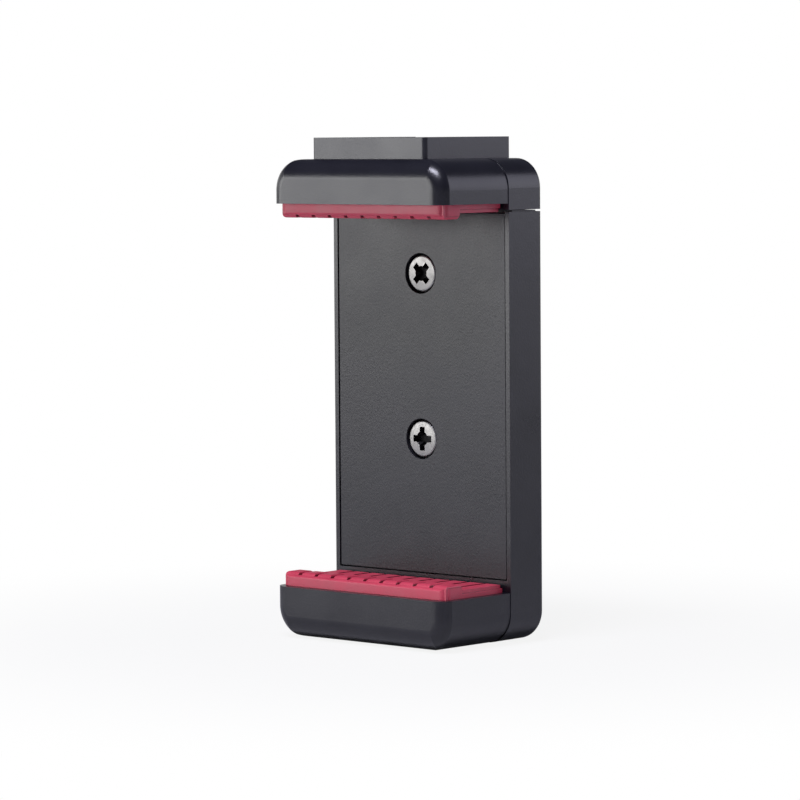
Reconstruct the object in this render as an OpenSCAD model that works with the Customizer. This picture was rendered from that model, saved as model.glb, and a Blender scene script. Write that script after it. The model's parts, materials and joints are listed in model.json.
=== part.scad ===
// Spring-loaded phone holder: a fixed lower jaw moulded in one with a hollow column, an upper jaw
// that slides up out of the column on a forked tongue, and a cold-shoe block on the upper jaw.
// Millimetres. X runs across the phone, the phone lies on the side of -Y, and Z is up.

/* [Column] */
// Width across the column
column_w = 35.5; // [34:0.5:44]
// Depth of the column, front face to back face
column_d = 7.8; // [7.2:0.1:10]
// Height of the column up to the parting line
column_h = 64.8; // [60:0.1:90]
// Radius of the two bottom corners, seen from the front
bottom_corner_r = 4.6; // [3:0.1:6]
// Radius of the long edges round the back face
back_edge_r = 0.8; // [0.4:0.1:1.2]
// Width of the narrow frame strip beside the front plate
frame_strip = 0.77; // [0.6:0.05:1.4]
// Width of the ledge that the front plate rests on
plate_ledge = 0.88; // [0.6:0.05:1.6]
// Height of the sill under the front plate
plate_sill = 0.65; // [0.4:0.05:1.2]
// Thickness of the back wall
back_wall = 1.3; // [1:0.1:1.6]

/* [Jaws] */
// Reach of both jaws in front of the column
jaw_reach = 14.7; // [12:0.5:20]
// Height of the lower jaw
lower_jaw_h = 7.75; // [7:0.25:12]
// Thickness of the upper jaw
upper_jaw_h = 6.7; // [6:0.1:10]
// How far each side of a jaw draws in towards its front
jaw_draw_in = 0.48; // [0.2:0.02:1]
// How far the sides of a jaw stand in from the sides of the column
jaw_step = 0.1; // [0.08:0.01:0.2]
// Radius of the two top corners, seen from the front
top_corner_r = 4.4; // [3:0.1:5.5]
// Radius of the upright front corners of the jaws
front_corner_r = 2.4; // [1.5:0.1:2.8]
// Radius of the long front edge under the lower jaw
bottom_edge_r = 3.3; // [2.5:0.1:4]
// Radius of the long front edge on top of the upper jaw
top_edge_r = 3; // [2.5:0.1:4]
// Gap at the parting line between the column and the cap above it
parting_gap = 0.3; // [0.2:0.05:0.8]
// How far the rim inside the parting gap stands in from the outside
rim_inset = 0.75; // [0.5:0.05:0.8]
// How far the cap reaches down below the underside of the upper jaw
cap_drop = 0.95; // [0.5:0.05:1.5]
// Wall of the cored jaws
jaw_wall = 1.7; // [1.2:0.1:2]
// Skin left between the cores and the outside of a jaw
jaw_skin = 1.6; // [1.2:0.1:2]
// Thickness of the ribs between the cores
core_rib = 1.1; // [0.8:0.1:1.6]

/* [Front plate] */
// Thickness of the front plate
plate_t = 1.5; // [1.2:0.1:1.8]
// How far the plate lies back from the column's front edge
plate_inset = 0.12; // [0:0.02:0.3]
// Gap round the plate
plate_gap = 0.2; // [0.1:0.05:0.4]
// Height of the plate's lower edge
plate_bottom_z = 9.75; // [9.5:0.25:14]
// Gap between the plate's upper edge and the parting line
plate_top_gap = 0.25; // [0.1:0.05:1]

/* [Plate screws] */
// Height of the lower screw
lower_screw_z = 30.1; // [25:0.5:34]
// Distance of the upper screw below the parting line
upper_screw_drop = 9.5; // [7:0.1:14]
// Diameter of the recess round each screw head
recess_dia = 6.2; // [6:0.1:7]
// Wall of the boss behind each recess
recess_wall = 0.75; // [0.5:0.05:0.9]
// Floor under each screw head
recess_floor = 0.9; // [0.6:0.1:1]
// Diameter of the pan heads
head_dia = 5.6; // [4.6:0.1:5.8]
// Height of the pan heads
head_h = 1.7; // [1.4:0.1:2]
// Radius round the rim of the pan heads
head_rim_r = 0.35; // [0.25:0.05:0.6]
// How far the crown of a pan head stands above its rim
head_crown = 0.15; // [0.1:0.05:0.4]
// How far the heads lie below the face of the plate
head_sink = 0.1; // [0.1:0.05:0.8]
// Diameter of the screw shanks
shank_dia = 2.9; // [2.5:0.1:3]
// Width across the cross recess
cross_span = 3.6; // [2.6:0.1:3.8]
// Width of one arm of the cross recess
cross_arm = 1; // [0.6:0.05:1.1]

/* [Slide] */
// Travel of the upper jaw
travel = 30; // [20:1:30]
// Thickness of the tongue's front web
web_t = 1.2; // [0.9:0.1:1.4]
// Width of the side rails of the tongue
rail_w = 2.4; // [1.8:0.1:3]
// Width of the slot that passes the screw bosses
fork_slot_w = 8.8; // [8.2:0.1:10]
// Running clearance of the tongue on each face
slide_clear = 0.15; // [0.1:0.05:0.3]
// How far each stop lug stands out at the foot of the tongue
stop_lug = 0.4; // [0.3:0.05:0.5]
// Height of the stop lugs
stop_lug_h = 3; // [2:0.5:4]

/* [Springs] */
// Outer diameter of the spring coils
spring_dia = 2.7; // [2.2:0.1:2.8]
// Diameter of the spring wire
wire_dia = 0.5; // [0.4:0.05:0.6]
// Number of coils in each spring
spring_turns = 18; // [12:1:20]
// Distance of each spring from the middle
spring_x = 8.8; // [8:0.1:10]
// Height of the fixed lower pins
lower_pin_z = 12.6; // [12.4:0.2:14]
// Height of the upper pins with the holder closed
upper_pin_z = 33.4; // [30:0.2:34]
// Diameter of the spring pins
pin_dia = 1.4; // [1:0.1:1.4]
// How deep each pin sits in its hole
pin_seat = 0.6; // [0.5:0.05:0.8]

/* [Cold shoe] */
// Width of the shoe block
shoe_w = 22.8; // [22.4:0.2:26]
// Depth of the shoe block
shoe_d = 19.2; // [16:0.2:19.2]
// Height of the shoe block above the jaw
shoe_h = 3.25; // [3.1:0.05:4.2]
// Width of the slot for the accessory foot
foot_slot_w = 18.7; // [18.6:0.05:19]
// Height of the slot for the accessory foot
foot_slot_h = 2.1; // [2:0.05:2.3]
// Width of the opening between the two lips
lip_opening = 14.8; // [12.6:0.1:16]
// Thickness of the closed front wall
shoe_front_wall = 1.9; // [1.2:0.1:3]
// Radius of the block's upright front corners
shoe_corner_r = 0.7; // [0.3:0.1:1.2]
// Distance from the back of the block to the back of the column
shoe_back_gap = 0.2; // [0:0.1:1]
// Thickness of the floor sunk into the jaw
shoe_floor_t = 1.3; // [1.2:0.1:1.6]
// Width of the floor sunk into the jaw
shoe_floor_w = 20.6; // [19:0.2:21.4]
// Head diameter of the countersunk shoe screws
flat_head_dia = 4.2; // [3.6:0.1:4.6]
// Shank diameter of the countersunk shoe screws
flat_shank_dia = 2.2; // [1.8:0.1:2.4]
// Length of the countersunk shoe screws
flat_screw_len = 5; // [4.2:0.1:5.2]
// Distance between the two shoe screws
shoe_screw_spacing = 8; // [6:0.5:10]

/* [Rubber pads] */
// Margin between a pad and the front of its jaw
pad_margin = 1.35; // [0.6:0.05:1.6]
// Margin between a pad and the sides of the column
pad_side_margin = 1.34; // [1:0.02:2]
// Gap between a pad and the column
pad_back_gap = 0.4; // [0.2:0.05:0.8]
// Thickness of the pad under its ribs
pad_base_t = 0.7; // [0.6:0.1:1.2]
// Height of the ribs on the pad
rib_h = 0.55; // [0.4:0.05:0.75]
// Distance between neighbouring ribs
rib_pitch = 3.32; // [2.6:0.02:4]
// Width of one rib
rib_w = 2.65; // [1.8:0.05:2.9]
// Radius along the edges of a rib
rib_edge_r = 0.35; // [0.2:0.05:0.45]
// Height of the lip along the front of the pad
lip_h = 1.7; // [1.5:0.05:3]
// Thickness of the lip, front to back
lip_t = 3.8; // [2.5:0.1:5]
// Radius along the top edges of the lip
lip_edge_r = 0.4; // [0.2:0.05:0.6]
// How far the ribs stand above the lip
lip_rib_h = 0.45; // [0.2:0.05:0.8]
// Radius at the two ends of a rib where it crosses the lip
rib_end_r = 0.7; // [0.4:0.05:0.9]
// How far the ribs stay back from the front and the back edge
rib_set_back = 0.3; // [0.1:0.05:1]
// Radius of the upright front corners of the pad
pad_corner_r = 1.3; // [0.8:0.1:2]
// Diameter of the locating pegs under the pad
peg_dia = 3; // [2:0.1:3.4]
// Length of the locating pegs
peg_len = 2.2; // [1.5:0.1:3]
// Distance of each peg from the middle
peg_x = 9.6; // [8:0.1:11]

/* [Tripod thread] */
// Outer diameter of the threaded insert
insert_dia = 9.5; // [8.5:0.1:10]
// Length of the threaded insert
insert_len = 6; // [5:0.1:6]
// Diameter of the flange at the mouth of the insert
insert_flange_dia = 11; // [10.2:0.1:11.6]
// Thickness of that flange
insert_flange_t = 0.8; // [0.5:0.1:1]
// Core diameter of the 1/4 inch thread
thread_core_dia = 5.2; // [5:0.05:5.4]
// Chamfer at the mouth of the thread
thread_chamfer = 0.5; // [0.3:0.05:0.8]

/* [Hidden] */

$fn = 72;
cut = 0.5;            // how far a cutting tool runs past the face it opens
lap = 0.2;            // overlap of shapes that grow together
fit = 0.02;           // clearance of pressed and glued pieces
touch = 0.05;         // gap between faces that are drawn together
seat = 0.1;           // clearance where a moving face comes to rest
roll_proud = 0.04;    // how far the rolled edge starts outside the tapered sides
screw_clear = 0.15;   // clearance round a shank where it passes through
tip_cover = 0.9;      // wall left behind the tip of a plate screw
core_inset = 0.6;     // extra wall round the cores where the jaw rounds off
boss_step = 1.2;      // how much the body's bosses are slimmer than the plate's
floor_inset = 1;      // how far the shoe's floor stays inside the block's outline

// Levels
cap_z = column_h + parting_gap;
upper_jaw_z = cap_z + cap_drop;
top_z = upper_jaw_z + upper_jaw_h;
upper_screw_z = column_h - upper_screw_drop;
plate_top_z = column_h - plate_top_gap;
cavity_floor_z = plate_bottom_z + plate_sill;
tongue_bottom_z = cavity_floor_z + seat;
stop_z = tongue_bottom_z + stop_lug_h + travel + seat;

// Widths
jaw_front_w = column_w - 2 * jaw_draw_in;
plate_w = column_w - 2 * frame_strip - 2 * plate_gap;
cavity_w = plate_w + 2 * plate_gap - 2 * plate_ledge;
guide_w = cavity_w - 2 * stop_lug;
tongue_w = guide_w - 2 * slide_clear;

// Depths, counted from the front face of the column
plate_back_y = plate_inset + plate_t;
cavity_back_y = column_d - back_wall;
web_y = plate_back_y + slide_clear;
rail_back_y = cavity_back_y - slide_clear;
head_seat_y = plate_inset + head_sink + head_h;
plate_boss_end_y = head_seat_y + recess_floor;
boss_front_y = plate_boss_end_y + touch;
shank_end_y = column_d - tip_cover;
spring_y = (web_y + web_t + cavity_back_y) / 2;
pad_front_y = -jaw_reach + pad_margin;
pad_back_y = -pad_back_gap;
shoe_back_y = column_d - shoe_back_gap;
shoe_front_y = shoe_back_y - shoe_d;
shoe_mid_y = (shoe_front_y + shoe_front_wall + shoe_back_y) / 2;
shoe_screw_ys = [shoe_mid_y - shoe_screw_spacing / 2, shoe_mid_y + shoe_screw_spacing / 2];
insert_y = (column_d - jaw_reach) / 2;

// Pads and bosses
pad_w = column_w - 2 * pad_side_margin;
rib_count = floor((pad_w - rib_w) / rib_pitch) + 1;
rib_top = pad_base_t + rib_h;
lip_top = lip_h + lip_rib_h;
boss_dia = recess_dia + 2 * recess_wall;
peg_y = pad_front_y + lip_t / 2;

// The origin lies under the middle of the whole holder
module placed() {
    translate([0, (jaw_reach - column_d) / 2, 0]) children();
}

module across(length) {
    rotate([90, 0, 90]) linear_extrude(length, center = true) children();
}

module along_y(from, to) {
    translate([0, to, 0]) rotate([90, 0, 0]) linear_extrude(to - from) children();
}

module block(x, y, z) {
    translate([x[0], y[0], z[0]]) cube([x[1] - x[0], y[1] - y[0], z[1] - z[0]]);
}

// A cylinder along Y between two depths
module rod(r, from, to) {
    translate([0, to, 0]) rotate([90, 0, 0]) cylinder(r = r, h = to - from);
}

// Outline seen from the front, resting on z = 0, with its two lower corners rounded
module front_outline(w, h, r) {
    translate([-w / 2, r]) square([w, h - r]);
    translate([-w / 2 + r, 0]) square([w - 2 * r, r + lap]);
    for (side = [-1, 1]) translate([side * (w / 2 - r), r]) circle(r);
}

// Quarter disc in the corner of the first quadrant that lies away from the origin
module quarter(r) {
    intersection() {
        circle(r);
        square(r);
    }
}

// Round button of radius r with its front edge rolled over at edge_r, its axis along Y
module rolled_button(r, edge_r) {
    translate([0, edge_r, 0]) rotate([90, 0, 0]) rotate_extrude() {
        square([r - edge_r, edge_r]);
        translate([r - edge_r, 0]) quarter(edge_r);
    }
}

// The same outline with its front edge rolled over at radius edge_r, from y = 0 to y = edge_r
module rolled_face(w, h, r, edge_r) {
    block([-w / 2 + r, w / 2 - r], [0, edge_r], [edge_r, h]);
    block([-w / 2 + edge_r, w / 2 - edge_r], [0, edge_r], [r, h]);
    for (side = [0, 1]) mirror([side, 0, 0]) {
        translate([w / 2 - r, 0, r]) rolled_button(r, edge_r);
        translate([w / 2 - edge_r, edge_r, r]) mirror([0, 1, 0])
            linear_extrude(h - r) quarter(edge_r);
    }
    translate([0, edge_r, edge_r]) mirror([0, 1, 0]) mirror([0, 0, 1])
        across(w - 2 * r) quarter(edge_r);
}

// Body of a jaw with its outline on z = 0 and its front at y = -jaw_reach
module jaw_body(h, column_corner_r, edge_r) {
    roll_end_y = -jaw_reach + front_corner_r;
    corner_r = column_corner_r + 2 * jaw_step;
    intersection() {
        jaw_taper(roll_end_y, h, corner_r);
        mirror([1, 0, 0]) jaw_taper(roll_end_y, h, corner_r);
        union() {
            translate([0, -jaw_reach, -roll_proud]) rolled_face(jaw_front_w + 2 * roll_proud,
                h + roll_proud + cut, corner_r + roll_proud, front_corner_r);
            block([-column_w, column_w], [roll_end_y, cut], [-cut, h + cut]);
        }
        across(2 * column_w) jaw_side(h, edge_r);
    }
}

// Space inside the tapered right side of a jaw
module jaw_taper(front_y, h, corner_r) {
    angle = atan((jaw_draw_in - jaw_step) / -front_y);
    length = 2 * jaw_reach;
    translate([jaw_front_w / 2, front_y, 0]) rotate([0, 0, -angle]) along_y(-length, length)
        translate([-column_w, 0]) front_outline(2 * column_w, h, corner_r);
}

// Side view of a jaw, with the radius along its lower front edge
module jaw_side(h, r) {
    translate([-jaw_reach, r]) square([jaw_reach, h - r]);
    translate([-jaw_reach + r, 0]) square([jaw_reach - r, r + lap]);
    translate([-jaw_reach + r, r]) circle(r);
}

// Column or cap between two heights, its lower corners rounded and its back edge rolled over
module column_body(h, corner_r) {
    intersection() {
        union() {
            along_y(0, column_d - back_edge_r) front_outline(column_w, h, corner_r);
            translate([0, column_d, 0]) mirror([0, 1, 0])
                rolled_face(column_w, h, corner_r, back_edge_r);
        }
        block([-column_w, column_w], [0, column_d], [0, h]);
    }
}

// Pockets that core a jaw out from its pad face, at z = 0 and upwards, to the given depth
module jaw_cores(depth, middle_w) {
    inner = jaw_front_w / 2 - jaw_wall - core_inset;
    front = -jaw_reach + jaw_wall + 2 * core_inset;
    back = -jaw_wall;
    cell = (inner - middle_w / 2 - core_rib) / 2;
    row = (back - front - core_rib) / 2;
    for (side = [-1, 1], column = [0, 1], line = [0, 1]) {
        x = middle_w / 2 + column * (cell + core_rib);
        y = front + line * (row + core_rib);
        mirror([side < 0 ? 1 : 0, 0, 0]) block([x, x + cell], [y, y + row], [-cut, depth]);
    }
}

module peg_bosses(depth) {
    for (side = [-1, 1]) translate([side * peg_x, peg_y, 0])
        cylinder(r = peg_dia / 2 + core_rib, h = depth);
}

module peg_holes() {
    for (side = [-1, 1]) translate([side * peg_x, peg_y, -cut])
        cylinder(r = peg_dia / 2 + fit, h = peg_len + seat + cut);
}

module body_shell() {
    color("#26262b") placed() difference() {
        union() {
            hollow_shell();
            screw_bosses();
            parting_rim();
        }
        screw_bores();
    }
}

// Column and lower jaw with all their hollows
module hollow_shell() {
    difference() {
        union() {
            jaw_body(lower_jaw_h, bottom_corner_r, bottom_edge_r);
            column_body(column_h, bottom_corner_r);
        }
        // hollow of the column, narrower above the stop lugs
        block([-cavity_w / 2, cavity_w / 2], [0, cavity_back_y], [cavity_floor_z, stop_z]);
        block([-guide_w / 2, guide_w / 2], [0, cavity_back_y], [stop_z - cut, column_h + cut]);
        // rebate for the front plate
        block([-plate_w / 2 - plate_gap, plate_w / 2 + plate_gap], [-cut, plate_back_y],
            [plate_bottom_z - plate_gap, column_h + cut]);
        // cores under the pad, with the peg bosses left standing in them
        translate([0, 0, lower_jaw_h]) mirror([0, 0, 1]) difference() {
            jaw_cores(lower_jaw_h - jaw_skin, insert_flange_dia + core_rib);
            peg_bosses(lower_jaw_h);
        }
        translate([0, 0, lower_jaw_h]) mirror([0, 0, 1]) peg_holes();
        // seat of the threaded insert
        translate([0, insert_y, -cut])
            cylinder(r = insert_dia / 2 + fit, h = insert_len + seat + cut);
        translate([0, insert_y, -cut])
            cylinder(r = insert_flange_dia / 2 + fit, h = insert_flange_t + cut);
        for (side = [-1, 1]) translate([side * spring_x, 0, lower_pin_z])
            rod(pin_dia / 2 + fit, cavity_back_y - cut, cavity_back_y + pin_seat);
    }
}

// Bosses that the plate screws bite into
module screw_bosses() {
    for (z = [lower_screw_z, upper_screw_z]) translate([0, 0, z])
        rod((boss_dia - boss_step) / 2, boss_front_y, cavity_back_y + lap);
}

module screw_bores() {
    for (z = [lower_screw_z, upper_screw_z]) translate([0, 0, z])
        rod(shank_dia / 2 + fit, boss_front_y - cut, shank_end_y);
}

// Rim on the sides and the back of the column, which closes the parting gap from inside
module parting_rim() {
    rim_x = column_w / 2 - rim_inset;
    levels = [column_h - lap, cap_z - seat];
    difference() {
        block([-rim_x, rim_x], [plate_back_y, column_d - rim_inset], levels);
        block([-guide_w / 2, guide_w / 2], [0, cavity_back_y],
            [column_h - cut, cap_z + cut]);
    }
}

module front_plate() {
    color("#3a3a3d") placed() difference() {
        union() {
            block([-plate_w / 2, plate_w / 2], [plate_inset, plate_back_y],
                [plate_bottom_z, plate_top_z]);
            for (z = [lower_screw_z, upper_screw_z]) translate([0, 0, z])
                rod(boss_dia / 2, plate_back_y - lap, plate_boss_end_y);
        }
        for (z = [lower_screw_z, upper_screw_z]) translate([0, 0, z]) {
            rod(recess_dia / 2, plate_inset - cut, head_seat_y);
            rod(shank_dia / 2 + screw_clear, head_seat_y - cut, plate_boss_end_y + cut);
        }
    }
}

// Cross recess, cut downwards from z = 0 about the origin, wider where its arms meet
module cross_recess(span, arm, depth) {
    foot_r = 0.6 * arm;
    mouth_r = 1.15 * arm;
    for (turn = [0, 90]) rotate([0, 0, turn])
        translate([-span / 2, -arm / 2, -depth]) cube([span, arm, depth + cut]);
    translate([0, 0, -depth]) cylinder(r1 = foot_r, r2 = mouth_r, h = depth + fit);
}

// Half section of a pan head standing on z = 0, its crown a shallow dome
module pan_section() {
    rim_x = head_dia / 2 - head_rim_r;
    rim_z = head_h - head_crown;
    dome_r = (rim_x * rim_x + head_crown * head_crown) / (2 * head_crown);
    square([head_dia / 2, rim_z - head_rim_r]);
    intersection() {
        square([rim_x, head_h]);
        translate([0, head_h - dome_r]) circle(dome_r, $fn = 360);
    }
    intersection() {
        translate([rim_x, rim_z - head_rim_r]) circle(head_rim_r, $fn = 48);
        square([head_dia, head_h]);
    }
}

module pan_screw(z, turn) {
    shank_len = shank_end_y - head_seat_y;
    cross_depth = 0.75 * head_h;
    color("#c4c4bf") placed() translate([0, head_seat_y, z]) rotate([90, turn, 0]) difference() {
        union() {
            rotate_extrude() pan_section();
            translate([0, 0, seat - shank_len]) cylinder(r = shank_dia / 2, h = shank_len);
        }
        translate([0, 0, head_h]) cross_recess(cross_span, cross_arm, cross_depth);
    }
}

module plate_screw_upper() {
    pan_screw(upper_screw_z, 45);
}

module plate_screw_lower() {
    pan_screw(lower_screw_z, 0);
}

module tripod_insert() {
    color("#b9b4a2") placed() translate([0, insert_y, 0]) difference() {
        union() {
            translate([0, 0, seat]) cylinder(r = insert_dia / 2, h = insert_len - seat);
            translate([0, 0, seat])
                cylinder(r = insert_flange_dia / 2, h = insert_flange_t - seat);
        }
        translate([0, 0, -cut]) cylinder(r = thread_core_dia / 2, h = insert_len + 2 * cut);
        translate([0, 0, seat - fit]) cylinder(r1 = thread_core_dia / 2 + thread_chamfer,
            r2 = thread_core_dia / 2, h = thread_chamfer);
    }
}

// Ribs of a pad in cross section, standing on z = 0
module rib_row(h) {
    for (i = [0:rib_count - 1]) translate([(i - (rib_count - 1) / 2) * rib_pitch, 0]) {
        translate([-rib_w / 2, 0]) square([rib_w, h - rib_edge_r]);
        translate([-rib_w / 2 + rib_edge_r, 0]) square([rib_w - 2 * rib_edge_r, h]);
        for (side = [-1, 1]) translate([side * (rib_w / 2 - rib_edge_r), h - rib_edge_r])
            circle(rib_edge_r, $fn = 32);
    }
}

// Pad as it lies on the lower jaw, its underside on z = 0
module pad() {
    rib_front_y = pad_front_y + rib_set_back;
    rib_end_y = pad_back_y - rib_set_back;
    lip_back_y = pad_front_y + lip_t;
    linear_extrude(pad_base_t) pad_plan(pad_back_y);
    // front lip with its two long edges rounded
    intersection() {
        linear_extrude(lip_h) pad_plan(lip_back_y);
        across(pad_w + cut) pad_step(pad_front_y, lip_back_y, lip_h, lip_edge_r);
    }
    // ribs, low over the base and stepped up over the lip
    intersection() {
        along_y(pad_front_y, pad_back_y) rib_row(lip_top);
        across(pad_w + cut) {
            translate([rib_front_y, 0]) square([rib_end_y - rib_front_y, rib_top]);
            pad_step(rib_front_y, lip_back_y, lip_top, rib_end_r);
        }
    }
    // locating pegs
    for (side = [-1, 1]) translate([side * peg_x, peg_y, -peg_len])
        cylinder(r = peg_dia / 2, h = peg_len + lap);
}

// Step in the side view of a pad, from one depth to another, with its top edges rounded
module pad_step(from, to, h, r) {
    translate([from, 0]) square([to - from, h - r]);
    translate([from + r, 0]) square([to - from - 2 * r, h]);
    for (y = [from + r, to - r]) translate([y, h - r]) circle(r, $fn = 32);
}

module pad_plan(back_y) {
    r = pad_corner_r;
    translate([-pad_w / 2, pad_front_y + r]) square([pad_w, back_y - pad_front_y - r]);
    translate([-pad_w / 2 + r, pad_front_y]) square([pad_w - 2 * r, r + lap]);
    for (side = [-1, 1]) translate([side * (pad_w / 2 - r), pad_front_y + r]) circle(r);
}

module lower_pad() {
    color("#c8324a") placed() translate([0, 0, lower_jaw_h]) pad();
}

module upper_pad() {
    color("#c8324a") placed() translate([0, 0, upper_jaw_z]) mirror([0, 0, 1]) pad();
}

module upper_jaw() {
    fork_top_z = upper_screw_z + fork_slot_w / 2;
    color("#2c2c32") placed() difference() {
        union() {
            translate([0, 0, top_z]) mirror([0, 0, 1]) {
                jaw_body(upper_jaw_h, top_corner_r, top_edge_r);
                column_body(upper_jaw_h + cap_drop, top_corner_r);
            }
            // tongue: a front web between two side rails, forked round the screw bosses
            block([-tongue_w / 2, tongue_w / 2], [web_y, web_y + web_t],
                [tongue_bottom_z, upper_jaw_z]);
            block([-tongue_w / 2, tongue_w / 2], [web_y, rail_back_y], [fork_top_z, upper_jaw_z]);
            for (side = [-1, 1]) {
                inner = side * (tongue_w / 2 - rail_w);
                outer = side * tongue_w / 2;
                block([min(inner, outer), max(inner, outer)], [web_y, rail_back_y],
                    [tongue_bottom_z, upper_jaw_z]);
                lug = side * (tongue_w / 2 + stop_lug);
                block([min(outer, lug), max(outer, lug)], [web_y, rail_back_y],
                    [tongue_bottom_z, tongue_bottom_z + stop_lug_h]);
            }
        }
        block([-fork_slot_w / 2, fork_slot_w / 2], [web_y - cut, rail_back_y + cut],
            [tongue_bottom_z - cut, fork_top_z]);
        // cores above the pad
        translate([0, 0, upper_jaw_z]) difference() {
            jaw_cores(upper_jaw_h - jaw_skin - shoe_floor_t, 2 * flat_head_dia);
            peg_bosses(upper_jaw_h);
        }
        translate([0, 0, upper_jaw_z]) peg_holes();
        // pocket and pilot holes for the cold shoe
        block([-shoe_floor_w / 2 - fit, shoe_floor_w / 2 + fit],
            [shoe_front_y + floor_inset - fit, shoe_back_y - floor_inset + fit],
            [top_z - shoe_floor_t - fit, top_z + cut]);
        for (y = shoe_screw_ys) translate([0, y, top_z - flat_screw_len - lap])
            cylinder(r = flat_shank_dia / 2 + fit, h = flat_screw_len + cut);
        for (side = [-1, 1]) translate([side * spring_x, 0, upper_pin_z])
            rod(pin_dia / 2 + fit, web_y + web_t - pin_seat, web_y + web_t + cut);
    }
}

module cold_shoe() {
    color("#34343a") placed() difference() {
        union() {
            translate([0, 0, top_z]) linear_extrude(shoe_h) shoe_plan();
            block([-shoe_floor_w / 2, shoe_floor_w / 2],
                [shoe_front_y + floor_inset, shoe_back_y - floor_inset],
                [top_z - shoe_floor_t, top_z + lap]);
        }
        block([-foot_slot_w / 2, foot_slot_w / 2],
            [shoe_front_y + shoe_front_wall, shoe_back_y + cut], [top_z, top_z + foot_slot_h]);
        block([-lip_opening / 2, lip_opening / 2],
            [shoe_front_y + shoe_front_wall, shoe_back_y + cut], [top_z, top_z + shoe_h + cut]);
        for (y = shoe_screw_ys) translate([0, y, top_z]) {
            translate([0, 0, -shoe_floor_t - cut])
                cylinder(r = flat_shank_dia / 2 + screw_clear, h = shoe_floor_t + 2 * cut);
            flat_head(flat_head_dia / 2 + touch);
        }
    }
}

module shoe_plan() {
    r = shoe_corner_r;
    translate([-shoe_w / 2, shoe_front_y + r]) square([shoe_w, shoe_d - r]);
    translate([-shoe_w / 2 + r, shoe_front_y]) square([shoe_w - 2 * r, r + lap]);
    for (side = [-1, 1]) translate([side * (shoe_w / 2 - r), shoe_front_y + r])
        circle(r, $fn = 48);
}

// Cone of a countersunk head, its wide end of radius r at z = 0
module flat_head(r) {
    depth = r - flat_shank_dia / 2;
    translate([0, 0, -depth]) cylinder(r1 = flat_shank_dia / 2, r2 = r, h = depth);
}

module flat_screw(y) {
    span = 0.55 * flat_head_dia;
    arm = 0.26 * span;
    color("#b8b8b4") placed() translate([0, y, top_z - touch]) difference() {
        union() {
            flat_head(flat_head_dia / 2);
            translate([0, 0, -flat_screw_len])
                cylinder(r = flat_shank_dia / 2, h = flat_screw_len - flat_shank_dia / 4);
        }
        cross_recess(span, arm, arm + seat);
    }
}

module shoe_screw_front() {
    flat_screw(shoe_screw_ys[0]);
}

module shoe_screw_rear() {
    flat_screw(shoe_screw_ys[1]);
}

// The part of vector u that is square to direction d, at unit length
function square_to(u, d) = let (w = u - (u * d) * d) w / norm(w);

// Ring of points round point p, in the plane of the unit vectors u and v
function ring(p, u, v, r, sides) =
    [for (k = [0:sides - 1]) p + r * (cos(360 * k / sides) * u + sin(360 * k / sides) * v)];

// Tube of radius r swept along a path of points, its rings carried along without a twist
module sweep(path, r, sides) {
    n = len(path);
    ahead = [for (i = [0:n - 1]) path[min(i + 1, n - 1)] - path[max(i - 1, 0)]];
    dirs = [for (d = ahead) d / norm(d)];
    rings = [for (i = 0, u = square_to([0, 1, 0], dirs[0]); i < n;
        i = i + 1, u = i < n ? square_to(u, dirs[i]) : u)
            ring(path[i], u, cross(u, dirs[i]), r, sides)];
    points = [for (one = rings) each one];
    walls = [for (i = [0:n - 2], k = [0:sides - 1])
        let (a = i * sides + k, b = i * sides + (k + 1) % sides)
            each [[a, b, b + sides], [a, b + sides, a + sides]]];
    first = [for (k = [0:sides - 1]) sides - 1 - k];
    last = [for (k = [0:sides - 1]) (n - 1) * sides + k];
    polyhedron(points, concat(walls, [first], [last]));
}

// Extension spring between the two pins, one wire that ends in an eye at each end
module spring(side) {
    steps = 10;
    eye_step = 28.5;
    eye_arc = 10 * eye_step;
    coil_r = (spring_dia - wire_dia) / 2;
    eye_r = pin_dia / 2 + wire_dia / 2 + seat;
    low = lower_pin_z + eye_r;
    high = upper_pin_z - eye_r;
    count = spring_turns * steps;
    lower_eye = [for (a = [360 - eye_arc:eye_step:360])
        [eye_r * cos(a), 0, lower_pin_z + eye_r * sin(a)]];
    coil = [for (i = [0:count]) [coil_r * cos(360 * i / steps), coil_r * sin(360 * i / steps),
        low + (high - low) * i / count]];
    upper_eye = [for (a = [0:eye_step:eye_arc])
        [eye_r * cos(a), 0, upper_pin_z + eye_r * sin(a)]];
    color("#a9abb0") placed() translate([side * spring_x, spring_y, 0])
        sweep(concat(lower_eye, coil, upper_eye), wire_dia / 2, 5);
}

module spring_left() {
    spring(-1);
}

module spring_right() {
    spring(1);
}

module body_pin(side) {
    color("#a0a0a4") placed() translate([side * spring_x, 0, lower_pin_z])
        rod(pin_dia / 2, web_y + web_t + 2 * slide_clear, cavity_back_y + pin_seat - touch);
}

module slide_pin(side) {
    color("#a0a0a4") placed() translate([side * spring_x, 0, upper_pin_z])
        rod(pin_dia / 2, web_y + web_t - pin_seat + touch, rail_back_y - seat);
}

module body_pin_left() {
    body_pin(-1);
}

module body_pin_right() {
    body_pin(1);
}

module slide_pin_left() {
    slide_pin(-1);
}

module slide_pin_right() {
    slide_pin(1);
}

body_shell();
front_plate();
plate_screw_upper();
plate_screw_lower();
tripod_insert();
lower_pad();
body_pin_left();
body_pin_right();
spring_left();
spring_right();
upper_jaw();
upper_pad();
cold_shoe();
shoe_screw_front();
shoe_screw_rear();
slide_pin_left();
slide_pin_right();
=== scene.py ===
"""Looks of the spring-loaded phone holder: finishes, tripod thread, lights, floor and camera."""

import json
import math

import bmesh
import bpy
from mathutils import Matrix, Vector


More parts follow.
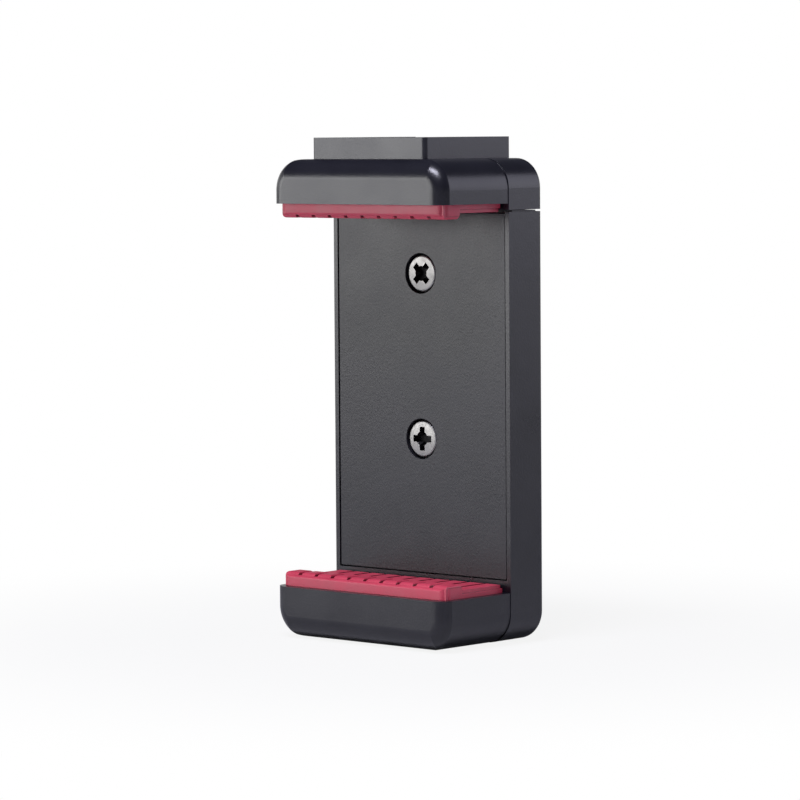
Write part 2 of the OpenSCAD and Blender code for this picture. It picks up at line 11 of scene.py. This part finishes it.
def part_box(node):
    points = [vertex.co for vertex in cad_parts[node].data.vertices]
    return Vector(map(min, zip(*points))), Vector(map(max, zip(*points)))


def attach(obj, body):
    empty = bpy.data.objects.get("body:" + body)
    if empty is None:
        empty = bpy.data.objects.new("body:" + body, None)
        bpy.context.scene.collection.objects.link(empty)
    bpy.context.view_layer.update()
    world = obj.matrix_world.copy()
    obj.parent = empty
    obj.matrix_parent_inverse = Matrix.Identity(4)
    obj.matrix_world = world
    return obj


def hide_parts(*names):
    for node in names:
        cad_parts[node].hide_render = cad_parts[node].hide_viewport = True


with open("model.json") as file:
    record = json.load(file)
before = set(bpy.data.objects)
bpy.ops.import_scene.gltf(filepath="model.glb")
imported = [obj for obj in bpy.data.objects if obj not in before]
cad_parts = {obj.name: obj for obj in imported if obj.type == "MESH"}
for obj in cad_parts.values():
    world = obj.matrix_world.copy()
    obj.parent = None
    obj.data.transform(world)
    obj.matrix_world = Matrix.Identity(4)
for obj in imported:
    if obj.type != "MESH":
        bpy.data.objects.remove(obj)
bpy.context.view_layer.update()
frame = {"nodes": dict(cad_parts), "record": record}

MM = 0.001

# Camera, fitted to the edges of the photograph
IMAGE_SIZE = 800
FOCAL_PX = 3935.7
CENTRE_PX = (400.91, 382.15)
SENSOR = 36.0
CAMERA_AZIMUTH = math.radians(41.81)
CAMERA_ELEVATION = math.radians(3.72)
CAMERA_ROLL = math.radians(-0.40)
CAMERA_DISTANCE = 595.38 * MM
CAMERA_TARGET = Vector((0, -1.05 * MM, 39.0 * MM))
CAMERA_NEAR = 0.02

# Black plastics by slot: name, colour, roughness, specular level, grain depth, edge radius
PLASTICS = {
    "body_plastic": ("body_black", (0.006, 0.006, 0.010), 0.30, 0.66, 0.016 * MM, 0.03 * MM),
    "jaw_plastic": ("jaw_black", (0.008, 0.008, 0.013), 0.30, 0.65, 0.016 * MM, 0.03 * MM),
    "plate_plastic": ("plate_black", (0.015, 0.015, 0.019), 0.34, 0.50, 0.020 * MM, 0.06 * MM),
    "shoe_plastic": ("shoe_black", (0.013, 0.013, 0.019), 0.32, 0.70, 0.016 * MM, 0.08 * MM),
}

# Metals by slot: name, colour, roughness, edge radius
METALS = {
    "screw_steel": ("screw_steel", (0.32, 0.315, 0.305), 0.42, 0.08 * MM),
    "spring_steel": ("wire_steel", (0.42, 0.42, 0.42), 0.35, 0.05 * MM),
    "insert_metal": ("insert_brass", (0.62, 0.50, 0.28), 0.32, 0.08 * MM),
}
# Near-black metal, painted into the screws' cross recesses as their shade
RECESS_SHADE_METAL = ("screw_recess_painted_shade", (0.03, 0.03, 0.03), 0.60, 0.05 * MM)

# Rubber of the pads, and how narrow and closed a groove is that takes the deeper red of painted
# shade
PAD_RED = (0.58, 0.032, 0.078)
GROOVE_SHADE_RED = (0.16, 0.004, 0.014)
GROOVE_SHADE_REACH = 1.2 * MM
GROOVE_SHADE_OPENNESS = (0.45, 0.88)

# Zone of a pan head's cross recess that is painted near-black as shade, counted from the crown
# and from the screw's axis
CROSS_SCREWS = ("plate_screw_upper", "plate_screw_lower")
RECESS_START = 0.10 * MM
RECESS_END = 1.60 * MM
RECESS_RADIUS = 2.0 * MM

# Insert of the tripod thread, 1/4 inch with 20 turns to the inch
THREAD_PITCH = 1.27 * MM
THREAD_DEPTH = 0.55 * MM
THREAD_FLANK = 0.42
THREAD_RUNOUT = THREAD_PITCH / 3
THREAD_STEPS = 72
THREAD_ROWS = 12
INSERT_STEP = 0.75 * MM
INSERT_FLANGE = 0.7 * MM
INSERT_CHAMFER = 0.5 * MM
MOUTH_EASE = 0.1 * MM

# Lamps: name, azimuth and elevation in degrees, distance, width, height, radiance, colour
WHITE = (1, 1, 1)
COOL = (0.95, 0.94, 1.12)
LAMPS = (
    ("key", -40, 6, 0.6, 0.60, 0.16, 4.5, WHITE),
    ("side", 138, 17, 0.8, 0.55, 0.46, 1.4, COOL),
    ("overhead", 18, 60, 0.5, 0.28, 0.11, 24.0, COOL),
)

# Dim room, and the white backdrop behind the holder: where it begins and is full, by the
# cosine of the angle from the line of sight, and where it ends above, by the sine of the height
ROOM_COLOUR = (0.88, 0.92, 1.15)
ROOM_STRENGTH = 0.07
BACKDROP_SIDE = (0.05, 0.45)
BACKDROP_TOP = (0.10, 0.35)

# Floor: white shares by the distance from the holder, for the camera and for mirrored rays
FLOOR_COLOUR = (0.60, 0.60, 0.60)
FLOOR_ROUGHNESS = 0.9
FLOOR_RADIUS = 6.0
FLOOR_CORNERS = 64
FLOOR_DROP = 0.2 * MM
FLOOR_SEEN = (0.03, 0.12, 0.88, 1.0)
FLOOR_MIRRORED = (0.10, 0.60, 0.0, 0.25)


def shader(name):
    """A new material with its node tree and its Principled shader."""
    material = bpy.data.materials.new(name)
    material.use_nodes = True
    tree = material.node_tree
    return material, tree, tree.nodes["Principled BSDF"]


def add(tree, kind, **values):
    """Adds a node. Values are its properties, or its inputs where no property has the name."""
    node = tree.nodes.new(kind)
    for key, value in values.items():
        if hasattr(node, key):
            setattr(node, key, value)
        else:
            node.inputs[key.replace("_", " ").title()].default_value = value
    return node


def noise(tree, scale, detail=2.0, roughness=0.5):
    """A noise texture in the part's own coordinates, with features of 1 / scale metres."""
    place = add(tree, "ShaderNodeTexCoord")
    texture = add(tree, "ShaderNodeTexNoise", scale=scale, detail=detail, roughness=roughness)
    tree.links.new(place.outputs["Object"], texture.inputs["Vector"])
    return texture.outputs["Fac"]


def ranged(tree, value, start, end, low, high, curve="LINEAR"):
    """Maps a value from the range between start and end to the one between low and high."""
    ramp = add(tree, "ShaderNodeMapRange", interpolation_type=curve)
    limits = {"From Min": start, "From Max": end, "To Min": low, "To Max": high}
    for key, number in limits.items():
        ramp.inputs[key].default_value = number
    tree.links.new(value, ramp.inputs["Value"])
    return ramp.outputs["Result"]


def spread(tree, value, low, high):
    """Maps a noise value between 0.3 and 0.7 to the range from low to high."""
    return ranged(tree, value, 0.3, 0.7, low, high)


def tinted(tree, shader_node, colour, value, variation):
    """Sets the base colour, lightened and darkened by a noise value."""
    low, high = (tuple(c * (1 + s * variation) for c in colour) + (1,) for s in (-1, 1))
    mix = add(tree, "ShaderNodeMix", data_type="RGBA")
    mix.inputs["A"].default_value = low
    mix.inputs["B"].default_value = high
    tree.links.new(spread(tree, value, 0.0, 1.0), mix.inputs["Factor"])
    tree.links.new(mix.outputs["Result"], shader_node.inputs["Base Color"])


def painted_groove_shade(tree, shader_node, colour):
    """Mixes painted shade, a deeper colour, into narrow grooves found by ambient occlusion, over
    the base colour that is set.
    """
    surface = shader_node.inputs["Base Color"].links[0].from_socket
    occlusion = add(tree, "ShaderNodeAmbientOcclusion", samples=12, only_local=True)
    occlusion.inputs["Distance"].default_value = GROOVE_SHADE_REACH
    mix = add(tree, "ShaderNodeMix", data_type="RGBA")
    mix.inputs["A"].default_value = colour + (1,)
    unshaded_share = ranged(tree, occlusion.outputs["AO"], *GROOVE_SHADE_OPENNESS, 0.0, 1.0)
    tree.links.new(unshaded_share, mix.inputs["Factor"])
    tree.links.new(surface, mix.inputs["B"])
    tree.links.new(mix.outputs["Result"], shader_node.inputs["Base Color"])


def bumped(tree, shader_node, layers, edge_radius):
    """Bump from several (height, depth in metres) layers over edges softened to a radius."""
    edge = add(tree, "ShaderNodeBevel", samples=6)
    edge.inputs["Radius"].default_value = edge_radius
    normal = edge.outputs["Normal"]
    for height, depth in layers:
        bump = add(tree, "ShaderNodeBump", distance=depth, strength=1.0)
        tree.links.new(height, bump.inputs["Height"])
        tree.links.new(normal, bump.inputs["Normal"])
        normal = bump.outputs["Normal"]
    tree.links.new(normal, shader_node.inputs["Normal"])


def moulded_plastic(name, colour, roughness, specular, grain_depth, edge_radius):
    """Black moulded plastic: a fine spark-eroded grain and faint flow marks."""
    material, tree, bsdf = shader(name)
    bsdf.inputs["Specular IOR Level"].default_value = specular
    grain = noise(tree, 3200, detail=2.5, roughness=0.65)
    cloud = noise(tree, 140, detail=3.0)
    tinted(tree, bsdf, colour, cloud, 0.12)
    gloss = spread(tree, cloud, roughness - 0.03, roughness + 0.03)
    tree.links.new(gloss, bsdf.inputs["Roughness"])
    bumped(tree, bsdf, [(cloud, 0.006 * MM), (grain, grain_depth)], edge_radius)
    return material


def soft_rubber(name, colour, groove_shade_colour):
    """Soft matte rubber with a dusty bloom, and painted shade of a deeper red in its grooves."""
    material, tree, bsdf = shader(name)
    bloom = noise(tree, 260, detail=4.0)
    pores = noise(tree, 2600, detail=2.0)
    tinted(tree, bsdf, colour, bloom, 0.07)
    # Painted shade: a deeper red in the grooves between the ribs
    painted_groove_shade(tree, bsdf, groove_shade_colour)
    tree.links.new(spread(tree, bloom, 0.46, 0.58), bsdf.inputs["Roughness"])
    bsdf.inputs["Specular IOR Level"].default_value = 0.95
    bumped(tree, bsdf, [(bloom, 0.015 * MM), (pores, 0.010 * MM)], 0.08 * MM)
    return material


def metal(name, colour, roughness, edge_radius):
    """Bare or plated metal with fine marks."""
    material, tree, bsdf = shader(name)
    marks = noise(tree, 1500, detail=4.0, roughness=0.7)
    cloud = noise(tree, 500, detail=2.0)
    tinted(tree, bsdf, colour, cloud, 0.10)
    bsdf.inputs["Metallic"].default_value = 1.0
    gloss = spread(tree, marks, roughness - 0.08, roughness + 0.08)
    tree.links.new(gloss, bsdf.inputs["Roughness"])
    bumped(tree, bsdf, [(marks, 0.006 * MM)], edge_radius)
    return material


def dress_nodes():
    """Gives every CAD node its finish and returns the finishes by slot."""
    finishes = {slot: moulded_plastic(*row) for slot, row in PLASTICS.items()}
    finishes.update({slot: metal(*row) for slot, row in METALS.items()})
    finishes["rubber_pad"] = soft_rubber("pad_red", PAD_RED, GROOVE_SHADE_RED)
    for part in frame["record"]["subparts"]:
        mesh = frame["nodes"][part["node"]].data
        mesh.materials.clear()
        mesh.materials.append(finishes[part["material_slot"]])
    # Painted shade: the cross recesses of the plate screws turn near-black
    recess_shade_finish = metal(*RECESS_SHADE_METAL)
    for name in CROSS_SCREWS:
        paint_cross_recess_shade(frame["nodes"][name], recess_shade_finish)
    return finishes


def paint_cross_recess_shade(screw, finish):
    """Gives the walls and the floor of a pan head's cross recess a near-black metal of their own,
    as painted shade.
    """
    low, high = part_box(screw.name)
    centre_x, centre_z = (low.x + high.x) / 2, (low.z + high.z) / 2
    screw.data.materials.append(finish)
    for face in screw.data.polygons:
        middle = screw.matrix_world @ face.center
        aside = math.hypot(middle.x - centre_x, middle.z - centre_z)
        depth = middle.y - low.y
        if RECESS_START < depth < RECESS_END and aside < RECESS_RADIUS:
            face.material_index = 1


def direction(azimuth, elevation):
    """Unit vector for an azimuth from the front towards +X and an elevation, in radians."""
    level = math.cos(elevation)
    return Vector((math.sin(azimuth) * level, -math.cos(azimuth) * level, math.sin(elevation)))


def aim_camera():
    """Camera at the photograph's angle, with its small shift and roll."""
    back = direction(CAMERA_AZIMUTH, CAMERA_ELEVATION)
    right = Vector((math.cos(CAMERA_AZIMUTH), math.sin(CAMERA_AZIMUTH), 0))
    up = back.cross(right)
    roll = Matrix.Rotation(CAMERA_ROLL, 3, back)
    right, up = roll @ right, roll @ up
    data = bpy.data.cameras.new("camera")
    data.lens = FOCAL_PX / IMAGE_SIZE * SENSOR
    data.sensor_width = SENSOR
    data.shift_x = 0.5 - CENTRE_PX[0] / IMAGE_SIZE
    data.shift_y = CENTRE_PX[1] / IMAGE_SIZE - 0.5
    data.clip_start = CAMERA_NEAR
    camera = bpy.data.objects.new("camera", data)
    camera.matrix_world = Matrix((
        (right.x, up.x, back.x, 0), (right.y, up.y, back.y, 0),
        (right.z, up.z, back.z, 0), (0, 0, 0, 1)))
    camera.location = CAMERA_TARGET + CAMERA_DISTANCE * back
    bpy.context.scene.collection.objects.link(camera)
    bpy.context.scene.camera = camera


def softbox(name, azimuth, elevation, distance, width, height, radiance, colour):
    """A rectangular lamp that faces the holder, its radiance the same at any size."""
    data = bpy.data.lights.new(name, "AREA")
    data.shape = "RECTANGLE"
    data.size, data.size_y = width, height
    data.energy = radiance * math.pi * width * height
    data.color = colour
    lamp = bpy.data.objects.new(name, data)
    lamp.visible_camera = False
    away = direction(math.radians(azimuth), math.radians(elevation))
    lamp.location = CAMERA_TARGET + distance * away
    lamp.rotation_euler = away.to_track_quat("Z", "Y").to_euler()
    bpy.context.scene.collection.objects.link(lamp)


def whitened(tree, plain, white, seen, mirrored, surface):
    """Mixes plain white into a shader, by one share for camera rays and one for mirrored rays."""
    path = add(tree, "ShaderNodeLightPath")
    indirect = add(tree, "ShaderNodeMath", operation="MAXIMUM")
    tree.links.new(path.outputs["Is Glossy Ray"], indirect.inputs[0])
    tree.links.new(path.outputs["Is Transmission Ray"], indirect.inputs[1])
    direct = add(tree, "ShaderNodeMath", operation="MULTIPLY")
    direct.inputs[1].default_value = 1.0
    tree.links.new(path.outputs["Is Camera Ray"], direct.inputs[0])
    if seen:
        tree.links.new(seen, direct.inputs[1])
    share = add(tree, "ShaderNodeMath", operation="MULTIPLY_ADD")
    tree.links.new(indirect.outputs["Value"], share.inputs[0])
    tree.links.new(mirrored, share.inputs[1])
    tree.links.new(direct.outputs["Value"], share.inputs[2])
    white.inputs["Color"].default_value = WHITE + (1,)
    white.inputs["Strength"].default_value = 1.0
    mix = add(tree, "ShaderNodeMixShader")
    tree.links.new(share.outputs["Value"], mix.inputs["Fac"])
    tree.links.new(plain.outputs[0], mix.inputs[1])
    tree.links.new(white.outputs[0], mix.inputs[2])
    tree.links.new(mix.outputs["Shader"], surface)


def light_studio():
    """Level key at the left front, a weak side box, a small lamp above, and a dim room."""
    for row in LAMPS:
        softbox(*row)
    world = bpy.data.worlds.new("studio")
    bpy.context.scene.world = world
    world.use_nodes = True
    tree = world.node_tree
    room = tree.nodes["Background"]
    room.inputs["Color"].default_value = ROOM_COLOUR + (1,)
    room.inputs["Strength"].default_value = ROOM_STRENGTH
    place = add(tree, "ShaderNodeTexCoord").outputs["Generated"]
    behind = add(tree, "ShaderNodeVectorMath", operation="DOT_PRODUCT")
    behind.inputs[1].default_value = -direction(CAMERA_AZIMUTH, 0)
    tree.links.new(place, behind.inputs[0])
    axes = add(tree, "ShaderNodeSeparateXYZ")
    tree.links.new(place, axes.inputs["Vector"])
    beside = ranged(tree, behind.outputs["Value"], *BACKDROP_SIDE, 0.0, 1.0, "SMOOTHSTEP")
    below = ranged(tree, axes.outputs["Z"], *BACKDROP_TOP, 1.0, 0.0, "SMOOTHSTEP")
    backdrop = add(tree, "ShaderNodeMath", operation="MULTIPLY")
    tree.links.new(beside, backdrop.inputs[0])
    tree.links.new(below, backdrop.inputs[1])
    white = add(tree, "ShaderNodeBackground")
    surface = tree.nodes["World Output"].inputs["Surface"]
    whitened(tree, room, white, None, backdrop.outputs["Value"], surface)


def lay_floor():
    """Pale floor that keeps a shadow near the holder and turns plain white further out."""
    mesh = bpy.data.meshes.new("floor")
    shape = bmesh.new()
    bmesh.ops.create_circle(shape, cap_ends=True, segments=FLOOR_CORNERS, radius=FLOOR_RADIUS)
    shape.to_mesh(mesh)
    shape.free()
    floor = bpy.data.objects.new("floor", mesh)
    floor.location.z = -FLOOR_DROP
    bpy.context.scene.collection.objects.link(floor)
    material, tree, bsdf = shader("floor_white")
    bsdf.inputs["Base Color"].default_value = FLOOR_COLOUR + (1,)
    bsdf.inputs["Roughness"].default_value = FLOOR_ROUGHNESS
    bsdf.inputs["Specular IOR Level"].default_value = 0.0
    place = add(tree, "ShaderNodeTexCoord")
    reach = add(tree, "ShaderNodeVectorMath", operation="LENGTH")
    tree.links.new(place.outputs["Object"], reach.inputs[0])
    seen = ranged(tree, reach.outputs["Value"], *FLOOR_SEEN, "SMOOTHSTEP")
    mirrored = ranged(tree, reach.outputs["Value"], *FLOOR_MIRRORED, "SMOOTHSTEP")
    white = add(tree, "ShaderNodeEmission")
    surface = tree.nodes["Material Output"].inputs["Surface"]
    whitened(tree, bsdf, white, seen, mirrored, surface)
    mesh.materials.append(material)


def threaded_insert(finish):
    """The insert with its real thread, turned inside from the core diameter outwards."""
    low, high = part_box("tripod_insert")
    mount = next(m for m in frame["record"]["mounts"] if m["name"] == "tripod_thread")
    core = mount["dims"]["r_mm"] * MM
    centre = Vector(mount["pos_m"])
    flange = (high.x - low.x) / 2
    flange_top = low.z + INSERT_FLANGE
    barrel = flange - INSERT_STEP
    start = low.z + INSERT_CHAMFER
    rows = round((high.z - start) / THREAD_PITCH * THREAD_ROWS)
    turn = [2 * math.pi * k / THREAD_STEPS for k in range(THREAD_STEPS)]
    shape = bmesh.new()

    def ring(radius, z):
        """A ring of vertices at height z, its radius a function of the angle and the height."""
        return [shape.verts.new((centre.x + radius(a, z) * math.cos(a),
                                 centre.y + radius(a, z) * math.sin(a), z)) for a in turn]

    def groove(a, z):
        """Radius of the threaded bore, run out to the core at its inner end."""
        phase = (z / THREAD_PITCH - a / (2 * math.pi)) % 1.0
        fade = min(1.0, (high.z - z) / THREAD_RUNOUT)
        return core + THREAD_DEPTH * fade * max(0.0, 1 - abs(phase - 0.5) / THREAD_FLANK)

    bore = [ring(groove, start + (high.z - start) * i / rows) for i in range(rows + 1)]
    mouth = ring(lambda a, z: core + THREAD_DEPTH + MOUTH_EASE, low.z)
    outline = [(flange, low.z), (flange, flange_top), (barrel, flange_top), (barrel, high.z)]
    outside = [ring(lambda a, z, r=r: r, z) for r, z in outline]
    loops = outside + bore[::-1] + [mouth]
    for one, other in zip(loops, loops[1:] + loops[:1]):
        for k in range(THREAD_STEPS):
            n = (k + 1) % THREAD_STEPS
            shape.faces.new((one[k], one[n], other[n], other[k]))
    bmesh.ops.recalc_face_normals(shape, faces=shape.faces)
    mesh = bpy.data.meshes.new("threaded_insert")
    shape.to_mesh(mesh)
    shape.free()
    mesh.materials.append(finish)
    insert = bpy.data.objects.new("threaded_insert", mesh)
    bpy.context.scene.collection.objects.link(insert)
    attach(insert, "holder_body")
    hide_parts("tripod_insert")


aim_camera()
threaded_insert(dress_nodes()["insert_metal"])
light_studio()
lay_floor()

bpy.context.scene.view_settings.view_transform = "Standard"
